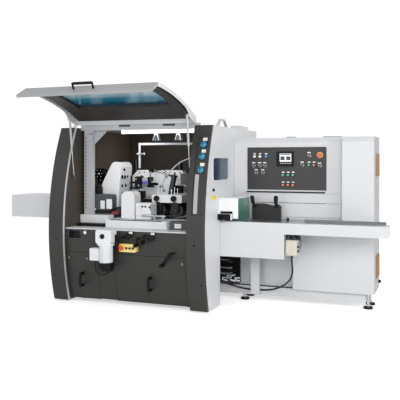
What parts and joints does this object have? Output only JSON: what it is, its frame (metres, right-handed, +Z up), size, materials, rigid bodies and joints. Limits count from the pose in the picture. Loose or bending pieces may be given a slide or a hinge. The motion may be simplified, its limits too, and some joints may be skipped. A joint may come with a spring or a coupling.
{
  "type": "four sided moulder",
  "caption": "Through-feed wood planing and moulding machine with a curved enclosure, tilting hood, spindles, feed rollers, tables and a control cabinet.",
  "frame": {"origin": "on the floor, at the middle of the machine's length and depth", "axes": "+X along the feed line from outfeed to infeed, +Y from the operator to the back, +Z up"},
  "size_m": [4.024, 2.525, 2.0843],
  "materials": {
    "dark_paint": "textured powder coat",
    "light_paint": "satin powder coat",
    "white_paint": "satin paint",
    "grey_paint": "satin paint",
    "cast_paint": "painted casting",
    "ground_steel": "ground",
    "bright_steel": "turned",
    "motor_paint": "paint",
    "foam": "perforated foam board",
    "tinted_pane": "tinted",
    "lamp_white": "frosted",
    "black_plastic": "matte",
    "black_rubber": "smooth",
    "panel_black": "matte",
    "cream_box": "moulded",
    "station_yellow": "moulded",
    "gauge_blue": "glossy",
    "curtain_green": "translucent strip",
    "stop_red": "glossy",
    "start_green": "glossy",
    "stop_orange": "glossy",
    "tube_black": "gloss paint"
  },
  "bodies": {
    "machine": {"base_frame": "dark_paint", "levelling_feet": "black_rubber", "pillars": "dark_paint", "left_end_wall": "light_paint", "right_end_wall": "light_paint", "roof_and_back": "light_paint", "acoustic_lining": "foam", "sill": "light_paint", "front_panel": "dark_paint", "bed": "cast_paint", "bed_plates": "ground_steel", "fence": "ground_steel", "inner_frame": "white_paint", "work_light": "lamp_white", "guide_columns": "bright_steel", "spindle_housings": "cast_paint", "spindle_drives": "motor_paint", "chip_hoods": "white_paint", "motor_cover": "grey_paint", "cabinet_shell": "light_paint", "control_panel": "panel_black", "feed_tables": "ground_steel", "infeed_apron": "light_paint", "outfeed_guard": "light_paint", "entry_guard": "white_paint", "entry_curtain": "curtain_green", "lever_bracket": "grey_paint", "junction_box": "cream_box", "box_cable": "black_rubber", "hose_bundle": "black_rubber", "gauges": "gauge_blue", "end_window": "tinted_pane", "lifting_eyes": "bright_steel", "gearmotor": "cast_paint", "button_station": "station_yellow", "hand_controls": "black_plastic"},
    "hood": {"hood_shell": "light_paint", "hood_lining": "foam", "hood_window": "tinted_pane", "hood_handle": "black_plastic"},
    "strut_rods": {"strut_rods": "bright_steel"},
    "strut_tubes": {"strut_tubes": "tube_black"},
    "left_door": {"left_door": "dark_paint"},
    "right_door": {"right_door": "dark_paint"},
    "bottom_spindle": {"bottom_spindle": "bright_steel"},
    "fence_spindle": {"fence_spindle": "bright_steel"},
    "near_spindle": {"near_spindle": "bright_steel"},
    "top_head": {"top_head": "white_paint"},
    "top_spindle": {"top_spindle": "bright_steel"},
    "feed_carriers": {"feed_carriers": "white_paint"},
    "infeed_roller": {"infeed_roller": "ground_steel"},
    "middle_roller": {"middle_roller": "ground_steel"},
    "left_clamp_lever": {"left_clamp_lever": "black_plastic"},
    "right_clamp_lever": {"right_clamp_lever": "black_plastic"},
    "hand_wheel": {"hand_wheel": "black_plastic"},
    "hand_crank": {"hand_crank": "black_plastic"},
    "panel_stop": {"panel_stop": "stop_red"},
    "station_stop": {"station_stop": "stop_red"},
    "start_buttons": {"start_buttons": "start_green"},
    "stop_buttons": {"stop_buttons": "stop_orange"}
  },
  "joints": [
    {"name": "hood_hinge", "type": "hinge", "parent": "machine", "child": "hood", "pos_m": [-0.397, -0.2125, 1.802], "axis": [1, 0, 0], "range_deg": [0, 90]},
    {"name": "strut_pivot", "type": "hinge", "parent": "machine", "child": "strut_rods", "pos_m": [-0.397, -0.3475, 1.255], "axis": [1, 0, 0], "range_deg": [-24.6, 0]},
    {"name": "strut_stroke", "type": "slide", "parent": "strut_rods", "child": "strut_tubes", "axis": [0, -0.1362, 0.9907], "range_m": [-0.2408, 0]},
    {"name": "left_door_tip", "type": "hinge", "parent": "machine", "child": "left_door", "pos_m": [-0.881, -0.362, 0.04], "axis": [1, 0, 0], "range_deg": [0, 5]},
    {"name": "right_door_tip", "type": "hinge", "parent": "machine", "child": "right_door", "pos_m": [-0.131, -0.362, 0.04], "axis": [1, 0, 0], "range_deg": [0, 5]},
    {"name": "bottom_spindle_turn", "type": "hinge", "parent": "machine", "child": "bottom_spindle", "pos_m": [0.148, 0.1125, 0.767], "axis": [0, 1, 0], "continuous": true},
    {"name": "fence_spindle_turn", "type": "hinge", "parent": "machine", "child": "fence_spindle", "pos_m": [-0.362, 0.2925, 0.87], "axis": [0, 0, 1], "continuous": true},
    {"name": "near_spindle_turn", "type": "hinge", "parent": "machine", "child": "near_spindle", "pos_m": [-0.522, -0.0695, 0.87], "axis": [0, 0, 1], "continuous": true},
    {"name": "top_head_lift", "type": "slide", "parent": "machine", "child": "top_head", "axis": [0, 0, 1], "range_m": [0, 0.08]},
    {"name": "top_spindle_turn", "type": "hinge", "parent": "top_head", "child": "top_spindle", "pos_m": [-0.792, 0.1125, 0.92], "axis": [0, 1, 0], "continuous": true},
    {"name": "feed_beam_lift", "type": "slide", "parent": "machine", "child": "feed_carriers", "axis": [0, 0, 1], "range_m": [-0.01, 0.1]},
    {"name": "infeed_roller_turn", "type": "hinge", "parent": "feed_carriers", "child": "infeed_roller", "pos_m": [-0.072, 0.1205, 0.905], "axis": [0, 1, 0], "continuous": true},
    {"name": "middle_roller_turn", "type": "hinge", "parent": "feed_carriers", "child": "middle_roller", "pos_m": [-0.262, 0.1205, 0.905], "axis": [0, 1, 0], "continuous": true},
    {"name": "left_clamp_turn", "type": "hinge", "parent": "machine", "child": "left_clamp_lever", "pos_m": [0.698, 0.2125, 0.96], "axis": [0, 1, 0], "range_deg": [-20, 60]},
    {"name": "right_clamp_turn", "type": "hinge", "parent": "machine", "child": "right_clamp_lever", "pos_m": [0.923, 0.2125, 0.96], "axis": [0, 1, 0], "range_deg": [-60, 60]},
    {"name": "hand_wheel_turn", "type": "hinge", "parent": "machine", "child": "hand_wheel", "pos_m": [-0.973, -0.0625, 1], "axis": [1, 0, 0], "continuous": true},
    {"name": "hand_crank_turn", "type": "hinge", "parent": "machine", "child": "hand_crank", "pos_m": [0.113, -0.5375, 0.545], "axis": [0, 1, 0], "continuous": true},
    {"name": "panel_stop_press", "type": "slide", "parent": "machine", "child": "panel_stop", "axis": [0, 1, 0], "range_m": [0, 0.005], "stiffness_N_per_m": 600},
    {"name": "station_stop_press", "type": "slide", "parent": "machine", "child": "station_stop", "axis": [0, 1, 0], "range_m": [0, 0.005], "stiffness_N_per_m": 600},
    {"name": "start_buttons_press", "type": "slide", "parent": "machine", "child": "start_buttons", "axis": [0, 1, 0], "range_m": [0, 0.005], "stiffness_N_per_m": 600},
    {"name": "stop_buttons_press", "type": "slide", "parent": "machine", "child": "stop_buttons", "axis": [0, 1, 0], "range_m": [0, 0.005], "stiffness_N_per_m": 600}
  ],
  "couplings": [
    {"joint": "strut_pivot", "follows": "hood_hinge", "ratio": -0.2732},
    {"joint": "strut_stroke", "follows": "hood_hinge", "m_per_rad": -0.15326},
    {"joint": "middle_roller_turn", "follows": "infeed_roller_turn", "ratio": 1}
  ]
}
